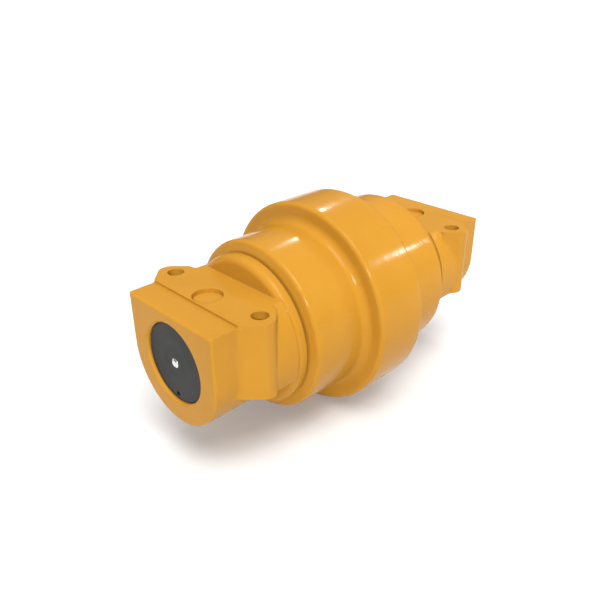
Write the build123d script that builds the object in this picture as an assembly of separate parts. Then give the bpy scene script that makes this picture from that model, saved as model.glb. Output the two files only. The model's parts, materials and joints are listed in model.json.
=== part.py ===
from build123d import *
from math import hypot
import os

# A track roller: a shell with one rim in the middle, turning on a fixed shaft between
# two end collars that bolt up against a track frame.
# Units are millimetres.  X is the roller's axis, +Z points up at the track frame, and
# the origin is on the axis, midway between the collars.  Each end's pieces are drawn
# for the right-hand end (+X) and mirrored for the left-hand one.

# ---- lengths along the axis, from the middle outwards ----
rim_width = 87.0
shell_length = 271.0
end_gap = 2.5
flange_thickness = 18.0
shoulder_length = 16.5
bolt_setback = 24.5
ear_flank_reach = 34.0
end_overhang = 39.0

# ---- radii and walls, from the axis outwards ----
shaft_radius = 55.0
bushing_wall = 9.95
washer_lip = 9.0
hub_wall = 10.0
hub_gap = 2.0
seal_neck_wall = 6.0
seal_flange_height = 7.0
toric_height = 11.0
flange_wall = 22.0
shell_step = 1.0
shell_end_drop = 14.0
rim_height = 29.0

# ---- shell ----
rim_edge_round = 6.0
rim_root_round = 12.0
shell_end_round = 6.0
shell_end_taper = 3.0
shell_face_round = 2.0
bushing_length = 78.0
bushing_groove_depth = 2.0
bushing_groove_width = 8.0
oil_pocket_depth = 5.0
washer_thickness = 6.0
washer_seat_depth = 10.0
dowel_radius = 2.5
dowel_length = 12.0
dowel_setback = 1.0

# ---- floating seals ----
seal_bore_depth = 18.0
seal_pocket_depth = 13.0
seal_ring_width = 13.0
seal_flange_thickness = 3.0
seal_bore_corner = 1.5
toric_start = 5.7
toric_width = 7.0
toric_round = 2.5

# ---- end collars ----
flange_edge_round = 10.0
flange_face_round = 2.5
block_wall = 30.0
block_roof = 15.5
block_end_round = 3.5
bore_chamfer = 2.5
pad_height = 3.5
bolt_hole_radius = 11.0
bolt_offset = 0.0
ear_tip_standout = 2.5
ear_tip_width = 14.0
ear_tip_round = 11.0
ear_inner_round = 14.0
ear_heel = 2.5
ear_overrun = 0.5
ear_depth = 104.0
ear_root_round = 6.0
ear_flank_round = 15.0
recess_radius = 20.0
recess_depth = 5.5
recess_inset = 22.0

# ---- shaft, pins and plugs ----
shaft_recess = 4.0
shaft_chamfer = 1.5
gallery_radius = 5.0
gallery_run_out = 10.0
cross_hole_radius = 4.0
puller_hole_radius = 3.25
puller_hole_depth = 18.0
puller_hole_edge = 9.0
plug_radius = 6.5
plug_length = 16.0
plug_dome = 1.5
plug_dome_radius = 3.9
plug_oring_section = 2.0
pin_radius = 10.0
pin_depth = 30.0
pin_chamfer = 1.0
cover_thickness = 4.0
cover_chamfer = 0.5
oring_groove_depth = 3.5
oring_groove_width = 5.5

# ---- clearances ----
running_fit = 0.05
slip_fit = 0.02
seal_face_gap = 0.02
end_float = 0.4

# ---- dependent radii ----
bearing_radius = shaft_radius + running_fit
bushing_outer_radius = bearing_radius + bushing_wall
oil_pocket_radius = bushing_outer_radius + oil_pocket_depth
washer_outer_radius = bushing_outer_radius + washer_lip
collar_bore_radius = shaft_radius + slip_fit
hub_radius = shaft_radius + hub_wall
seal_ring_inner_radius = hub_radius + hub_gap
seal_ring_neck_radius = seal_ring_inner_radius + seal_neck_wall
seal_ring_flange_radius = seal_ring_neck_radius + seal_flange_height
seal_bore_radius = seal_ring_neck_radius + toric_height
flange_radius = seal_bore_radius + flange_wall
shell_end_radius = flange_radius + shell_step
tread_radius = shell_end_radius + shell_end_drop
rim_radius = tread_radius + rim_height

# ---- dependent places, for the right-hand end ----
shell_end = shell_length / 2
seal_plane = shell_end + end_gap / 2
collar_start = shell_end + end_gap
flange_end = collar_start + flange_thickness
ear_start = flange_end + shoulder_length
bolt_x = ear_start + bolt_setback
pad_end = bolt_x + ear_flank_reach
collar_end = pad_end + end_overhang
shaft_end = collar_end - shaft_recess
recess_x = pad_end - recess_inset
seal_bore_floor = shell_end - seal_bore_depth
seal_pocket_floor = collar_start + seal_pocket_depth
block_start = (seal_pocket_floor + flange_end) / 2
washer_seat = seal_bore_floor - washer_seat_depth
washer_face = washer_seat + washer_thickness
hub_face = washer_face + end_float
bushing_start = washer_seat - bushing_length
bushing_middle = washer_seat - bushing_length / 2
oring_x = (flange_end + recess_x - recess_radius) / 2
plug_head_end = plug_length - shaft_end

# ---- dependent widths and heights of the collars ----
block_half_width = shaft_radius + block_wall
block_top = shaft_radius + block_roof
pad_top = block_top + pad_height
bolt_y = block_half_width + bolt_offset
ear_tip_y = flange_radius + ear_tip_standout
ear_reach = ear_tip_y - block_half_width
ear_bottom = pad_top - ear_depth
recess_floor = pad_top - recess_depth
cover_bottom = recess_floor - cover_thickness
pin_bottom = shaft_radius - pin_depth


def turned(corners):
    """A solid turned about the X axis from (x, radius, corner rounding) corners."""
    points = [(x, radius) for x, radius, rounding in corners]
    roundings = [rounding for x, radius, rounding in corners]
    outline = FilletPolyline(points, radius=roundings, close=True)
    return revolve(Plane.XZ * make_face(outline), Axis.X)


def ring(x_start, x_end, inner_radius, outer_radius):
    """A plain ring about the X axis."""
    tube = Cylinder(outer_radius, x_end - x_start) - Cylinder(inner_radius, x_end - x_start)
    return Pos((x_start + x_end) / 2, 0, 0) * Rot(0, 90, 0) * tube


def bar(x_start, x_end, radius, z=0.0):
    """A round bar parallel to the X axis."""
    length = x_end - x_start
    return Pos((x_start + x_end) / 2, 0, z) * Rot(0, 90, 0) * Cylinder(radius, length)


def post(x, y, z_bottom, z_top, radius):
    """A round bar standing along Z."""
    return Pos(x, y, (z_bottom + z_top) / 2) * Cylinder(radius, z_top - z_bottom)


def both_ways(corners):
    """Right-half corners followed by their mirror images, as one closed outline."""
    return corners + [(-x, radius, rounding) for x, radius, rounding in reversed(corners)]


def dowels(radius):
    """Two bars between washer and shell, one above and one below the shaft."""
    height = (bushing_outer_radius + washer_outer_radius) / 2
    end = washer_face - dowel_setback
    return [bar(end - dowel_length, end, radius, z) for z in (height, -height)]


def roller_shell():
    half = [
        (rim_width / 2, rim_radius, rim_edge_round),
        (rim_width / 2, tread_radius, rim_root_round),
        (shell_end - shell_end_taper, tread_radius, shell_end_round),
        (shell_end, shell_end_radius, shell_face_round),
        (shell_end, seal_bore_radius, 0),
        (seal_bore_floor, seal_bore_radius, seal_bore_corner),
        (seal_bore_floor, washer_outer_radius, 0),
        (washer_seat, washer_outer_radius, 0),
        (washer_seat, bushing_outer_radius, 0),
        (bushing_start, bushing_outer_radius, 0),
        (bushing_start, oil_pocket_radius, oil_pocket_depth / 2),
    ]
    shell = turned(both_ways(half))
    for hole in dowels(dowel_radius + slip_fit):
        shell -= hole
        shell -= mirror(hole, about=Plane.YZ)
    return shell


def bushing():
    groove = bearing_radius + bushing_groove_depth
    groove_start = bushing_middle - bushing_groove_width / 2
    groove_end = bushing_middle + bushing_groove_width / 2
    return turned([
        (bushing_start, bushing_outer_radius, 1.0),
        (washer_seat, bushing_outer_radius, 0),
        (washer_seat, bearing_radius, 0),
        (groove_end, bearing_radius, 0),
        (groove_end, groove, 1.0),
        (groove_start, groove, 1.0),
        (groove_start, bearing_radius, 0),
        (bushing_start, bearing_radius, 1.0),
    ])


def thrust_washer():
    washer = ring(washer_seat, washer_face, bearing_radius, washer_outer_radius)
    for hole in dowels(dowel_radius + slip_fit):
        washer -= hole
    return washer


def washer_dowels():
    return Compound(children=dowels(dowel_radius))


def seal_ring(direction):
    """A lapped seal ring; direction is -1 for the shell's ring and 1 for the collar's."""
    face = seal_plane + direction * seal_face_gap / 2
    flange_back = face + direction * seal_flange_thickness
    back = face + direction * seal_ring_width
    neck_start = face + direction * (toric_start - slip_fit)
    return turned([
        (face, seal_ring_inner_radius, 0),
        (face, seal_ring_flange_radius, 0),
        (flange_back, seal_ring_flange_radius, 0.8),
        (neck_start, seal_ring_neck_radius, 2.0),
        (back, seal_ring_neck_radius, 0.8),
        (back, seal_ring_inner_radius, 0.8),
    ])


def toric_ring(direction):
    """The rubber ring squeezed between a seal ring's neck and its housing."""
    start = seal_plane + direction * (seal_face_gap / 2 + toric_start)
    end = start + direction * toric_width
    return turned([
        (start, seal_ring_neck_radius, toric_round),
        (start, seal_bore_radius, toric_round),
        (end, seal_bore_radius, toric_round),
        (end, seal_ring_neck_radius, toric_round),
    ])


def d_block(x_start, x_end, half_width):
    """A bar along X, flat on top with upright sides, and half round underneath."""
    sides = Polyline(
        (-half_width, 0), (-half_width, block_top), (half_width, block_top), (half_width, 0)
    )
    belly = ThreePointArc((half_width, 0), (0, -half_width), (-half_width, 0))
    outline = make_face(sides.edges() + belly.edges())
    return extrude(Plane.YZ.offset(x_start) * outline, x_end - x_start)


def ear_plan(overrun):
    """Both ears from above; their outer flanks run past the pad's corner by this share."""
    reach = 1 + overrun
    tip_end = pad_end - ear_reach
    far_x = tip_end + reach * ear_reach
    ear = FilletPolyline(
        [
            (ear_start, 0),
            (ear_start, block_half_width + ear_heel),
            (tip_end - ear_tip_width, ear_tip_y),
            (tip_end, ear_tip_y),
            (far_x, ear_tip_y - reach * ear_reach),
            (far_x, 0),
        ],
        radius=[0, ear_heel, ear_inner_round, ear_tip_round, 0, 0],
        close=True,
    )
    plan = make_face(ear)
    return plan + mirror(plan, about=Plane.XZ)


def ear_columns():
    """The two ears below the pad, their outer flanks running on into the block."""
    plan = ear_plan(ear_overrun)
    return extrude(Plane.XY.offset(ear_bottom) * plan, block_top - ear_bottom)


def pad():
    """The raised mounting pad over the ears, ending square across the block."""
    plan = ear_plan(0)
    return extrude(Plane.XY.offset(block_top - pad_height) * plan, 2 * pad_height)


def flank_corners(casting):
    """The edges where the ears' outer flanks run into the sides of the block."""
    found = ShapeList()
    for edge in casting.edges():
        box = edge.bounding_box()
        in_slice = box.min.X > pad_end - slip_fit and box.max.X < pad_end + ear_flank_round
        inside = box.max.Y < block_half_width + 1 and box.min.Y > -block_half_width - 1
        if in_slice and inside and box.size.Z > pad_height:
            found.append(edge)
    return found


def slice_of_bar(x_start, x_end, radius, z_bottom, z_top):
    """The part of a round bar along X that lies between two heights."""
    slab = Box(2 * x_end, 2 * radius, z_top - z_bottom)
    return bar(x_start, x_end, radius) & Pos(x_end, 0, (z_bottom + z_top) / 2) * slab


def shoulder():
    """The round shoulder from flange to ears, cut level with the pad and the ears' feet."""
    return slice_of_bar(block_start, bolt_x, flange_radius, ear_bottom, pad_top)


def shoulder_roots(casting):
    """The edges where the shoulder runs into the inboard faces of the ears."""
    found = ShapeList()
    for edge in casting.edges():
        box = edge.bounding_box()
        reach = [hypot((edge @ along).Y, (edge @ along).Z) for along in (0, 0.5, 1)]
        on_shoulder = max(abs(radius - flange_radius) for radius in reach) < slip_fit
        if on_shoulder and box.min.X > ear_start - slip_fit and box.max.X < bolt_x + slip_fit:
            found.append(edge)
    return found


def collar_casting():
    """The block, ears, pad and shoulder, with their blended corners, before any boring."""
    casting = d_block(ear_start, collar_end, block_half_width)
    casting += slice_of_bar(block_start, ear_start, block_half_width, -block_half_width, 0)
    casting += ear_columns()
    casting = fillet(flank_corners(casting), ear_flank_round)
    end_edges = casting.edges().filter_by_position(Axis.X, collar_end, collar_end)
    casting = fillet(end_edges, block_end_round)
    casting += shoulder()
    casting += pad()
    return fillet(shoulder_roots(casting), ear_root_round)


def end_collar():
    core = turned([
        (hub_face, collar_bore_radius, 0),
        (hub_face, hub_radius, 1.0),
        (seal_pocket_floor, hub_radius, seal_bore_corner),
        (seal_pocket_floor, seal_bore_radius, seal_bore_corner),
        (collar_start, seal_bore_radius, 0),
        (collar_start, flange_radius, flange_face_round),
        (flange_end, flange_radius, flange_edge_round),
        (flange_end, collar_bore_radius, 0),
    ])
    collar = collar_casting()
    collar -= bar(block_start, collar_end, collar_bore_radius)
    mouth = collar.edges().filter_by(GeomType.CIRCLE)
    mouth = mouth.filter_by_position(Axis.X, collar_end, collar_end).sort_by(SortBy.RADIUS)
    collar = chamfer(mouth[0], bore_chamfer)
    collar += core
    for side in (-1, 1):
        collar -= post(bolt_x, side * bolt_y, ear_bottom, pad_top, bolt_hole_radius)
    collar -= post(recess_x, 0, cover_bottom, pad_top, recess_radius)
    collar -= post(recess_x, 0, 0, pad_top, pin_radius + slip_fit)
    return collar


def collar_oring():
    """Sits in the shaft's groove and fills it out to the collar's bore."""
    floor = shaft_radius - oring_groove_depth
    start = oring_x - oring_groove_width / 2
    end = oring_x + oring_groove_width / 2
    section_round = (collar_bore_radius - floor) / 3
    return turned([
        (start, floor, section_round),
        (start, collar_bore_radius, section_round),
        (end, collar_bore_radius, section_round),
        (end, floor, section_round),
    ])


def lock_pin():
    """A dowel down through the collar into the shaft, short of the oil gallery."""
    pin = post(recess_x, 0, pin_bottom, cover_bottom, pin_radius)
    rims = pin.edges().filter_by(GeomType.CIRCLE)
    return chamfer(rims, pin_chamfer)


def pin_cover():
    """The disc that closes the pin's hole and is the floor of the pad's recess."""
    cover = post(recess_x, 0, cover_bottom, recess_floor, recess_radius)
    top_rim = cover.edges().filter_by(GeomType.CIRCLE).sort_by(Axis.Z)[-1]
    return chamfer(top_rim, cover_chamfer)


def shaft():
    body = bar(-shaft_end, shaft_end, shaft_radius)
    body = chamfer(body.edges().filter_by(GeomType.CIRCLE), shaft_chamfer)
    body -= bar(-shaft_end, bushing_middle + gallery_run_out, gallery_radius)
    body -= bar(-shaft_end, plug_head_end, plug_radius)
    for side in (-1, 1):
        body -= post(side * bushing_middle, 0, 0, shaft_radius, cross_hole_radius)
        groove = ring(
            oring_x - oring_groove_width / 2,
            oring_x + oring_groove_width / 2,
            shaft_radius - oring_groove_depth,
            shaft_radius + 1,
        )
        pin_hole = post(recess_x, 0, pin_bottom, shaft_radius + 1, pin_radius + slip_fit)
        if side < 0:
            groove = mirror(groove, about=Plane.YZ)
            pin_hole = mirror(pin_hole, about=Plane.YZ)
        body -= groove
        body -= pin_hole
    puller_z = puller_hole_edge - shaft_radius
    body -= bar(-shaft_end, puller_hole_depth - shaft_end, puller_hole_radius, puller_z)
    return body


def oil_plug():
    """A domed plug driven into the gallery's left-hand end, with a groove for its ring."""
    groove_middle = plug_head_end - plug_length / 2
    half_groove = plug_oring_section / 2
    return turned([
        (-shaft_end - plug_dome, 0, 0),
        (-shaft_end - plug_dome, plug_dome_radius, plug_dome),
        (-shaft_end, plug_radius, 0),
        (groove_middle - half_groove, plug_radius, 0),
        (groove_middle - half_groove, plug_radius - plug_oring_section, 0),
        (groove_middle + half_groove, plug_radius - plug_oring_section, 0),
        (groove_middle + half_groove, plug_radius, 0),
        (plug_head_end, plug_radius, 0.5),
        (plug_head_end, 0, 0),
    ])


def oil_plug_oring():
    groove_middle = plug_head_end - plug_length / 2
    half_groove = plug_oring_section / 2
    section_round = plug_oring_section / 3
    return turned([
        (groove_middle - half_groove, plug_radius - plug_oring_section, section_round),
        (groove_middle - half_groove, plug_radius, section_round),
        (groove_middle + half_groove, plug_radius, section_round),
        (groove_middle + half_groove, plug_radius - plug_oring_section, section_round),
    ])


def write(name, shape):
    shape.label = name
    export_step(shape, "parts/" + name + ".step")


os.makedirs("parts", exist_ok=True)

write("roller_shell", roller_shell())
write("shaft", shaft())
write("oil_plug", oil_plug())
write("oil_plug_oring", oil_plug_oring())

paired = {
    "end_collar": end_collar(),
    "bushing": bushing(),
    "thrust_washer": thrust_washer(),
    "washer_dowels": washer_dowels(),
    "seal_ring_turning": seal_ring(-1),
    "toric_ring_turning": toric_ring(-1),
    "seal_ring_fixed": seal_ring(1),
    "toric_ring_fixed": toric_ring(1),
    "collar_oring": collar_oring(),
    "lock_pin": lock_pin(),
    "pin_cover": pin_cover(),
}
for name, piece in paired.items():
    write(name + "_right", piece)
    write(name + "_left", mirror(piece, about=Plane.YZ))
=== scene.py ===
"""Looks for the track roller: enamel, machined steel, seals, bearings, floor and light."""

import json
import math

import bpy
from mathutils import Matrix, Vector


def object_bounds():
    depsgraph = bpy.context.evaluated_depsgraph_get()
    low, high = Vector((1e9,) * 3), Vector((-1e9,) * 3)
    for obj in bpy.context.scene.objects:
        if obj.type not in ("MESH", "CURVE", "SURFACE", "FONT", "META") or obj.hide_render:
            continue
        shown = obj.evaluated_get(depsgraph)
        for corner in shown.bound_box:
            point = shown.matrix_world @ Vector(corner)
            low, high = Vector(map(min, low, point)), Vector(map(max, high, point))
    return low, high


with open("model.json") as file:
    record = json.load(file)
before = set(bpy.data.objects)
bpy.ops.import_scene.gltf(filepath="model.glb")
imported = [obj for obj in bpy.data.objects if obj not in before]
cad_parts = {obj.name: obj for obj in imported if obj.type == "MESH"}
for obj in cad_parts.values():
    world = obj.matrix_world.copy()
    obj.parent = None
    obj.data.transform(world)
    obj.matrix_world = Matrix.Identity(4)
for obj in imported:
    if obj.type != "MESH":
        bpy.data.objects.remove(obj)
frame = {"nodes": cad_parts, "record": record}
cad_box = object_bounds()

# ---- camera, placed round the roller's middle, in metres and degrees ----
CAMERA_AIM = Vector((-0.0483, 0.0, 0.0076))
CAMERA_AZIMUTH = -44.29
CAMERA_ELEVATION = 27.71
CAMERA_DISTANCE = 0.9467
CAMERA_ROLL = -0.44
CAMERA_LENS = 39.37
SENSOR_WIDTH = 36.0
FAR_CLIP = 100.0

FLOOR_SIZE = 60.0
FLOOR_COLOUR = (0.66, 0.66, 0.66, 1.0)
WHITE = (1.0, 1.0, 1.0, 1.0)

# ---- looks: noise scales are per metre, distances are in metres ----
ENAMEL_DEEP = (0.430, 0.198, 0.019)
ENAMEL_LIGHT = (0.456, 0.214, 0.023)
ENAMEL_RUBBED = (0.66, 0.38, 0.10, 1.0)
# painted shade: a darker brown that the enamel takes on in corners and recesses
ENAMEL_HOLLOW_SHADE = (0.30, 0.15, 0.04, 1.0)
ENAMEL_IOR = 1.18
ENAMEL_TONE_SCALE = 9.0
ENAMEL_GRAIN_SCALE = 1300.0
ENAMEL_EDGE_ROUND = 0.0016
CHIP_SCALE = 160.0
CHIP_SHARE = 0.35
# reach, noise scale and share of the painted shade in corners and recesses
HOLLOW_SHADE_REACH = 0.012
HOLLOW_SHADE_SCALE = 70.0
HOLLOW_SHADE_SHARE = 0.25
SCUFF_SCALES = (35.0, 400.0, 60.0)
SCUFF_SHARE = 0.3
SCUFF_ROUGHNESS = (0.55, 0.55, 0.55, 1.0)
ENAMEL_GLOSS_SCALE = 38.0
WAVE_SCALE = 85.0
WAVE_HEIGHT = 0.001
PEEL_SCALE = 650.0
PEEL_HEIGHT = 0.0004

METAL_IOR = 1.3
METAL_EDGE_ROUND = 0.0008
TURNING_SCALE = 900.0
BAND_SCALE = 90.0
SMEAR_SCALE = 24.0
TURNING_HEIGHT = 0.0003
RUBBED_SHARE = 0.5
RUBBED_BRIGHTENING = 1.8

RUBBER_BLOOM = (0.09, 0.088, 0.082, 1.0)
BLOOM_SHARE = 0.3
RUBBER_GRAIN_SCALE = 900.0
RUBBER_GRAIN_HEIGHT = 0.0003

SUN_DISTANCE = 3.0

# places of a colour mix node's sockets
MIX_SHARE = 0
MIX_FIRST = 6
MIX_SECOND = 7
MIX_RESULT = 2


def direction(azimuth, elevation):
    """The way out from the roller at angles measured as the camera's are."""
    azimuth = math.radians(azimuth)
    elevation = math.radians(elevation)
    return Vector((
        math.sin(azimuth) * math.cos(elevation),
        -math.cos(azimuth) * math.cos(elevation),
        math.sin(elevation),
    ))


def place_camera():
    """The camera that matches the reference view."""
    away = direction(CAMERA_AZIMUTH, CAMERA_ELEVATION)
    data = bpy.data.cameras.new("camera")
    data.lens = CAMERA_LENS
    data.sensor_width = SENSOR_WIDTH
    data.clip_end = FAR_CLIP
    camera = bpy.data.objects.new("camera", data)
    bpy.context.scene.collection.objects.link(camera)
    roll = Matrix.Rotation(math.radians(CAMERA_ROLL), 4, "Z")
    turn = (-away).to_track_quat("-Z", "Y").to_matrix().to_4x4() @ roll
    camera.matrix_world = Matrix.Translation(CAMERA_AIM + away * CAMERA_DISTANCE) @ turn
    bpy.context.scene.camera = camera


place_camera()


# ---- materials ----
class Paint:
    """A small helper that adds and joins shader nodes of one material."""

    def __init__(self, name):
        self.material = bpy.data.materials.new(name)
        self.material.use_nodes = True
        self.nodes = self.material.node_tree.nodes
        self.links = self.material.node_tree.links
        self.shader = self.nodes["Principled BSDF"]
        self.place = self.nodes.new("ShaderNodeTexCoord").outputs["Object"]

    def node(self, kind, inputs=None, **settings):
        made = self.nodes.new(kind)
        for key, value in settings.items():
            setattr(made, key, value)
        for key, value in (inputs or {}).items():
            self.feed(made.inputs[key], value)
        return made

    def feed(self, socket, value):
        """Join another node's output to the socket, or set the socket's own value."""
        if isinstance(value, bpy.types.NodeSocket):
            self.links.new(value, socket)
        else:
            socket.default_value = value

    def set(self, **values):
        for key, value in values.items():
            self.shader.inputs[key.replace("_", " ")].default_value = value

    def noise(self, scale, detail=4.0, roughness=0.55):
        return self.noise_at(self.place, scale, detail, roughness)

    def noise_at(self, place, scale, detail=4.0, roughness=0.55):
        made = self.node(
            "ShaderNodeTexNoise",
            {"Vector": place, "Scale": scale, "Detail": detail, "Roughness": roughness},
        )
        return made.outputs["Fac"]

    def ramp(self, value, *stops):
        """Colours or greys by value, from (position, colour) stops."""
        made = self.node("ShaderNodeValToRGB", {"Fac": value})
        elements = made.color_ramp.elements
        while len(elements) < len(stops):
            elements.new(0.5)
        for element, (position, colour) in zip(elements, stops):
            element.position = position
            element.color = colour if len(colour) == 4 else (*colour, 1.0)
        return made.outputs["Color"]

    def mix(self, share, first, second, blend="MIX"):
        made = self.node("ShaderNodeMix", data_type="RGBA", blend_type=blend)
        for place, value in ((MIX_SHARE, share), (MIX_FIRST, first), (MIX_SECOND, second)):
            self.feed(made.inputs[place], value)
        return made.outputs[MIX_RESULT]

    def bump(self, height, strength, distance, normal=None):
        inputs = {"Height": height, "Strength": strength, "Distance": distance}
        if normal is not None:
            inputs["Normal"] = normal
        return self.node("ShaderNodeBump", inputs).outputs["Normal"]

    def link(self, socket, key):
        self.links.new(socket, self.shader.inputs[key])


def grey(level):
    return (level, level, level)


class Surface(Paint):
    """Paint with the looks that the roller's materials share."""

    def math(self, operation, first, second=0.0):
        made = self.node("ShaderNodeMath", operation=operation)
        for place, value in enumerate((first, second)):
            self.feed(made.inputs[place], value)
        return made.outputs["Value"]

    def stretched(self, scales):
        """The object's own coordinates, stretched along its axes."""
        made = self.node("ShaderNodeMapping", {"Vector": self.place})
        made.inputs["Scale"].default_value = scales
        return made.outputs["Vector"]

    def lathe_place(self):
        """Coordinates that change only along the axis and away from it, so marks run round."""
        parts = self.node("ShaderNodeSeparateXYZ", {"Vector": self.place}).outputs
        y_square = self.math("POWER", parts["Y"], 2.0)
        z_square = self.math("POWER", parts["Z"], 2.0)
        radius = self.math("SQRT", self.math("ADD", y_square, z_square))
        joined = self.node("ShaderNodeCombineXYZ", {"X": radius, "Y": parts["X"]})
        return joined.outputs["Vector"]

    def edges(self, radius):
        """How far a rounded normal leans off the true one: 0 on faces, more along edges."""
        rounded = self.node("ShaderNodeBevel", {"Radius": radius}, samples=4).outputs["Normal"]
        true = self.node("ShaderNodeNewGeometry").outputs["Normal"]
        lean = self.node("ShaderNodeVectorMath", operation="DOT_PRODUCT")
        self.links.new(rounded, lean.inputs[0])
        self.links.new(true, lean.inputs[1])
        return rounded, self.math("SUBTRACT", 1.0, lean.outputs["Value"])

    def hollows(self, reach):
        """1 deep in corners and recesses, 0 in the open."""
        open_sky = self.node("ShaderNodeAmbientOcclusion", {"Distance": reach}, samples=6)
        return self.math("SUBTRACT", 1.0, open_sky.outputs["AO"])


def enamel(name, waviness):
    """Yellow-orange enamel, with the metal's own unevenness showing through it."""
    paint = Surface(name)
    paint.set(IOR=ENAMEL_IOR)
    drift = paint.noise(ENAMEL_TONE_SCALE, 3.0)
    tone = paint.ramp(drift, (0.35, ENAMEL_DEEP), (0.65, ENAMEL_LIGHT))
    grain = paint.ramp(paint.noise(ENAMEL_GRAIN_SCALE, 2.0), (0.3, grey(0.94)), (0.7, grey(1.0)))
    tone = paint.mix(1.0, tone, grain, "MULTIPLY")
    rounded, edge = paint.edges(ENAMEL_EDGE_ROUND)
    chipped = paint.math("MULTIPLY", edge, paint.noise(CHIP_SCALE, 5.0, 0.7))
    worn = paint.ramp(chipped, (0.10, grey(0.0)), (0.30, grey(1.0)))
    tone = paint.mix(paint.math("MULTIPLY", worn, CHIP_SHARE), tone, ENAMEL_RUBBED)
    # painted shade: the enamel darkens towards a dusky brown where ambient occlusion finds
    # corners and recesses, broken up by noise
    hollow_shade = paint.math("MULTIPLY", paint.hollows(HOLLOW_SHADE_REACH), paint.noise(HOLLOW_SHADE_SCALE, 5.0, 0.65))
    hollow_shade = paint.ramp(hollow_shade, (0.25, grey(0.0)), (0.60, grey(1.0)))
    tone = paint.mix(paint.math("MULTIPLY", hollow_shade, HOLLOW_SHADE_SHARE), tone, ENAMEL_HOLLOW_SHADE)
    paint.link(tone, "Base Color")
    scuffs = paint.noise_at(paint.stretched(SCUFF_SCALES), 1.0, 5.0, 0.6)
    scuffs = paint.ramp(scuffs, (0.62, grey(0.0)), (0.74, grey(1.0)))
    gloss = paint.ramp(paint.noise(ENAMEL_GLOSS_SCALE), (0.3, grey(0.11)), (0.7, grey(0.17)))
    gloss = paint.mix(paint.math("MULTIPLY", scuffs, SCUFF_SHARE), gloss, SCUFF_ROUGHNESS)
    paint.link(gloss, "Roughness")
    bumpy = paint.bump(paint.noise(WAVE_SCALE, 3.0), waviness, WAVE_HEIGHT, rounded)
    peel = paint.bump(paint.noise(PEEL_SCALE, 1.0), 0.05, PEEL_HEIGHT, bumpy)
    paint.link(peel, "Normal")
    return paint.material


def machined(name, dark, light, metallic, roughness, marks):
    """Bare or oiled metal with turning marks round the axis, smears and rubbed edges."""
    paint = Surface(name)
    paint.set(Metallic=metallic, IOR=METAL_IOR)
    place = paint.lathe_place()
    rings = paint.noise_at(place, TURNING_SCALE, 3.0, 0.7)
    bands = paint.noise_at(place, BAND_SCALE, 2.0)
    smears = paint.noise(SMEAR_SCALE, 5.0, 0.6)
    total = paint.math("ADD", rings, paint.math("ADD", bands, smears))
    level = paint.math("MULTIPLY", total, 1.0 / 3.0)
    tone = paint.ramp(level, (0.35, dark), (0.65, light))
    rounded, edge = paint.edges(METAL_EDGE_ROUND)
    rubbed = paint.ramp(edge, (0.02, grey(0.0)), (0.2, grey(1.0)))
    brighter = tuple(min(1.0, RUBBED_BRIGHTENING * value) for value in light)
    tone = paint.mix(paint.math("MULTIPLY", rubbed, RUBBED_SHARE), tone, (*brighter, 1.0))
    paint.link(tone, "Base Color")
    gloss = paint.ramp(smears, (0.3, grey(roughness - 0.06)), (0.7, grey(roughness + 0.08)))
    paint.link(gloss, "Roughness")
    paint.link(paint.bump(rings, marks, TURNING_HEIGHT, rounded), "Normal")
    return paint.material


def rubber():
    """Moulded black rubber with a faint grey bloom."""
    paint = Surface("black_rubber")
    tone = paint.ramp(paint.noise(60.0), (0.3, grey(0.018)), (0.7, grey(0.04)))
    bloom = paint.ramp(paint.noise(25.0, 5.0), (0.55, grey(0.0)), (0.75, grey(1.0)))
    tone = paint.mix(paint.math("MULTIPLY", bloom, BLOOM_SHARE), tone, RUBBER_BLOOM)
    paint.link(tone, "Base Color")
    paint.link(paint.ramp(paint.noise(90.0), (0.3, grey(0.55)), (0.7, grey(0.75))), "Roughness")
    grain = paint.noise(RUBBER_GRAIN_SCALE, 3.0)
    paint.link(paint.bump(grain, 0.25, RUBBER_GRAIN_HEIGHT), "Normal")
    return paint.material


cast_enamel = enamel("cast_enamel", 0.35)
turned_enamel = enamel("turned_enamel", 0.15)
MATERIALS = {
    "yellow_paint": cast_enamel,
    "dark_steel": machined("dark_oiled_steel", grey(0.010), grey(0.020), 0.1, 0.42, 0.25),
    "plated_steel": machined("bright_plate", grey(0.70), grey(0.85), 1.0, 0.22, 0.10),
    "ground_steel": machined("ground_steel", grey(0.42), grey(0.56), 1.0, 0.28, 0.15),
    "seal_iron": machined("lapped_iron", grey(0.26), grey(0.36), 0.9, 0.25, 0.20),
    "bearing_bronze": machined(
        "bearing_bronze", (0.46, 0.27, 0.10), (0.60, 0.38, 0.16), 1.0, 0.32, 0.25
    ),
    "seal_rubber": rubber(),
}

slots = {entry["node"]: entry["material_slot"] for entry in frame["record"]["subparts"]}
for name, node in frame["nodes"].items():
    look = turned_enamel if name == "roller_shell" else MATERIALS[slots[name]]
    for material_slot in node.material_slots:
        material_slot.material = look


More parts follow.
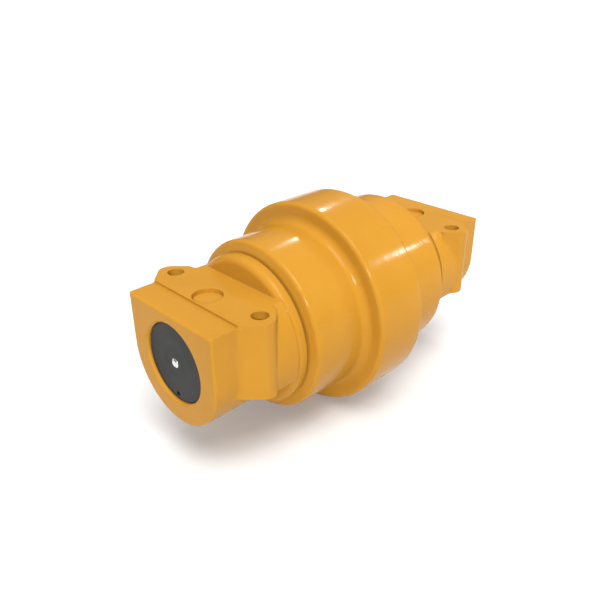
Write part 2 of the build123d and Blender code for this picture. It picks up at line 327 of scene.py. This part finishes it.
# ---- floor and light ----
def add_floor():
    """A pale floor level with the lowest point of the part."""
    bpy.ops.mesh.primitive_plane_add(size=FLOOR_SIZE, location=(0, 0, cad_box[0][2]))
    floor = bpy.context.object
    floor.name = "floor"
    paint = Paint("pale_floor")
    paint.set(Base_Color=FLOOR_COLOUR, Roughness=0.8, Specular_IOR_Level=0.2)
    floor.data.materials.append(paint.material)


def add_light(name, kind, azimuth, elevation, distance, power):
    """A light aimed at the roller's middle."""
    away = direction(azimuth, elevation)
    data = bpy.data.lights.new(name, kind)
    data.energy = power
    lamp = bpy.data.objects.new(name, data)
    lamp.location = away * distance
    lamp.rotation_euler = (-away).to_track_quat("-Z", "Y").to_euler()
    bpy.context.scene.collection.objects.link(lamp)
    return data


def add_lamp(name, azimuth, elevation, distance, size, power):
    """A small round light, for crisp highlights on the enamel."""
    lamp = add_light(name, "AREA", azimuth, elevation, distance, power)
    lamp.shape = "DISK"
    lamp.size = size


def add_sun(name, azimuth, elevation, spread, power):
    """Light that falls evenly on the whole floor."""
    sun = add_light(name, "SUN", azimuth, elevation, SUN_DISTANCE, power)
    sun.angle = math.radians(spread)


def add_sky(horizon, zenith):
    """Even light all round, from one strength at the horizon to another overhead."""
    world = bpy.data.worlds.new("studio")
    world.use_nodes = True
    nodes = world.node_tree.nodes
    links = world.node_tree.links
    nodes["Background"].inputs["Color"].default_value = WHITE
    place = nodes.new("ShaderNodeTexCoord")
    parts = nodes.new("ShaderNodeSeparateXYZ")
    ramp = nodes.new("ShaderNodeMapRange")
    ramp.inputs["To Min"].default_value = horizon
    ramp.inputs["To Max"].default_value = zenith
    links.new(place.outputs["Generated"], parts.inputs["Vector"])
    links.new(parts.outputs["Z"], ramp.inputs["Value"])
    links.new(ramp.outputs["Result"], nodes["Background"].inputs["Strength"])
    bpy.context.scene.world = world


add_floor()
add_sky(horizon=0.08, zenith=0.85)
add_sun("overhead", azimuth=-30.0, elevation=68.0, spread=35.0, power=2.75)
add_sun("front", azimuth=-46.0, elevation=27.0, spread=4.0, power=2.3)
add_lamp("key", azimuth=55.0, elevation=28.0, distance=2.0, size=0.10, power=5.0)
add_lamp("back", azimuth=126.0, elevation=40.0, distance=2.0, size=0.10, power=5.0)
bpy.context.scene.view_settings.view_transform = "Standard"
